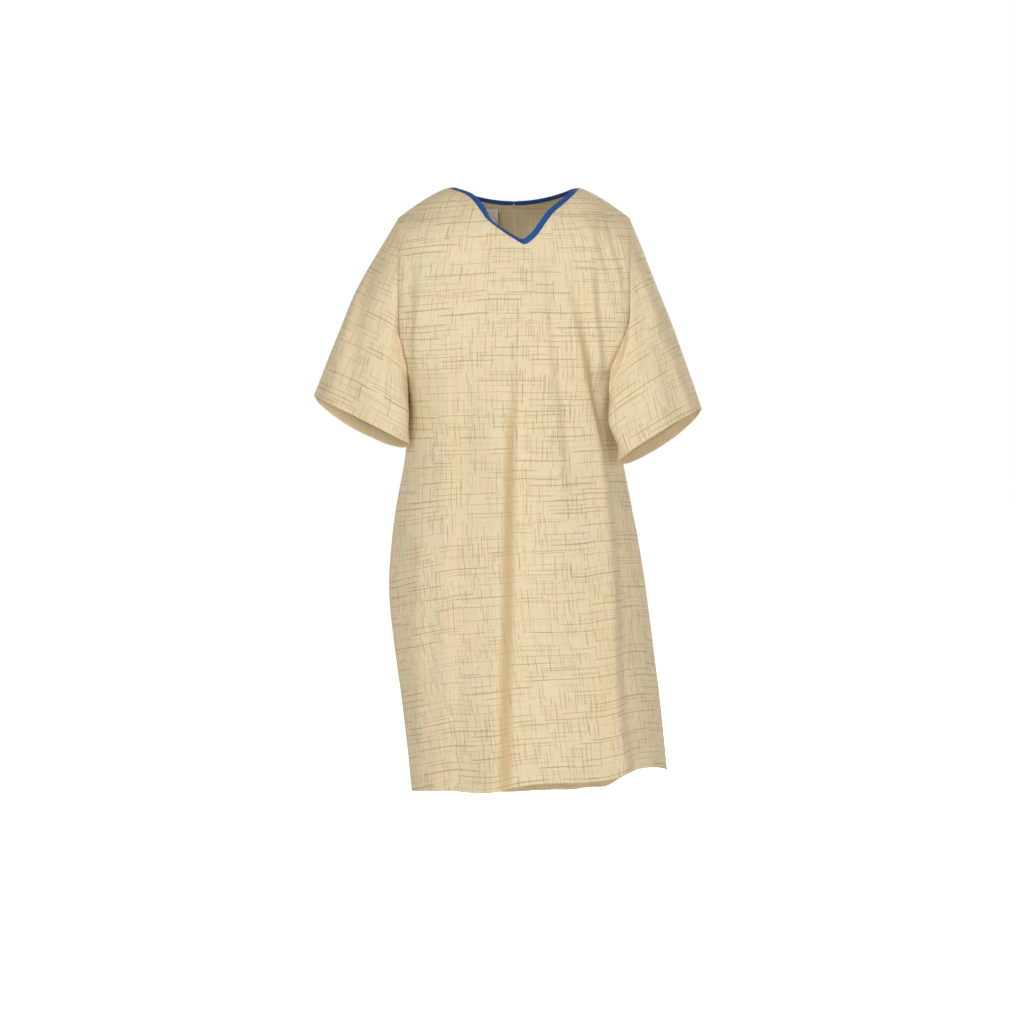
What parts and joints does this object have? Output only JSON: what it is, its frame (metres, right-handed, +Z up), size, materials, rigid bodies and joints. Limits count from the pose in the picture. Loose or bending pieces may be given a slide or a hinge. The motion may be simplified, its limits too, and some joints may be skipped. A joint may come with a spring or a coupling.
{
  "type": "patient gown",
  "caption": "Knee-length hospital patient gown with V neck, contrast neck binding, wide short sleeves, and a back opening with ties.",
  "frame": {"origin": "middle of the shoulder line at the neck, midway between the neck points, where the gown hangs on its wearer", "axes": "+Z up, -Y the front of the gown, +X the wearer's left"},
  "size_m": [0.72, 0.3084, 1.1603],
  "materials": {
    "printed_cloth": "plain-weave poly-cotton with a fine crosshatch print, matte",
    "turned_cloth": "the same cloth turned and stitched, matte",
    "blue_binding": "royal blue twill bias tape, soft sheen",
    "tie_tape": "cream twill tape, matte",
    "care_label": "white woven label, blank"
  },
  "bodies": {
    "gown_body": {"front_panel": "printed_cloth", "front_hem": "turned_cloth", "neck_binding": "blue_binding", "left_neck_tie": "blue_binding", "right_neck_tie": "blue_binding", "neck_tie_knot": "blue_binding", "care_label": "care_label", "left_back_panel": "printed_cloth", "left_back_hem": "turned_cloth", "left_side_seam": "turned_cloth", "left_shoulder_seam": "turned_cloth", "right_back_panel": "printed_cloth", "right_back_hem": "turned_cloth", "right_side_seam": "turned_cloth", "right_shoulder_seam": "turned_cloth"},
    "left_sleeve_body": {"left_sleeve": "printed_cloth", "left_armhole_seam": "turned_cloth", "left_underarm_seam": "turned_cloth", "left_sleeve_hem": "turned_cloth"},
    "left_flap_body": {"left_back_flap": "printed_cloth", "left_flap_hem": "turned_cloth", "left_back_edge_hem": "turned_cloth", "left_waist_tie_tack": "tie_tape"},
    "left_tie_body": {"left_waist_tie": "tie_tape"},
    "right_sleeve_body": {"right_sleeve": "printed_cloth", "right_armhole_seam": "turned_cloth", "right_underarm_seam": "turned_cloth", "right_sleeve_hem": "turned_cloth"},
    "right_flap_body": {"right_back_flap": "printed_cloth", "right_flap_hem": "turned_cloth", "right_back_edge_hem": "turned_cloth", "right_waist_tie_tack": "tie_tape"},
    "right_tie_body": {"right_waist_tie": "tie_tape"}
  },
  "joints": [
    {"name": "left_sleeve_raise", "type": "hinge", "parent": "gown_body", "child": "left_sleeve_body", "pos_m": [0.211, 0, -0.045], "axis": [0, -1, 0], "range_deg": [0, 20]},
    {"name": "left_flap_open", "type": "hinge", "parent": "gown_body", "child": "left_flap_body", "pos_m": [0.0178, 0.1183, -0.075], "axis": [0.1541, 0.0275, -0.9877], "range_deg": [0, 90]},
    {"name": "left_waist_tie_swing", "type": "hinge", "parent": "left_flap_body", "child": "left_tie_body", "pos_m": [0.02696, 0.12708, -0.458], "axis": [1, 0, 0], "range_deg": [0, 80]},
    {"name": "right_sleeve_raise", "type": "hinge", "parent": "gown_body", "child": "right_sleeve_body", "pos_m": [-0.211, 0, -0.045], "axis": [0, 1, 0], "range_deg": [0, 20]},
    {"name": "right_flap_open", "type": "hinge", "parent": "gown_body", "child": "right_flap_body", "pos_m": [-0.01475, 0.1183, -0.075], "axis": [0.0946, -0.0277, 0.9951], "range_deg": [0, 90]},
    {"name": "right_waist_tie_swing", "type": "hinge", "parent": "right_flap_body", "child": "right_tie_body", "pos_m": [-0.00104, 0.12708, -0.458], "axis": [1, 0, 0], "range_deg": [0, 80]}
  ]
}
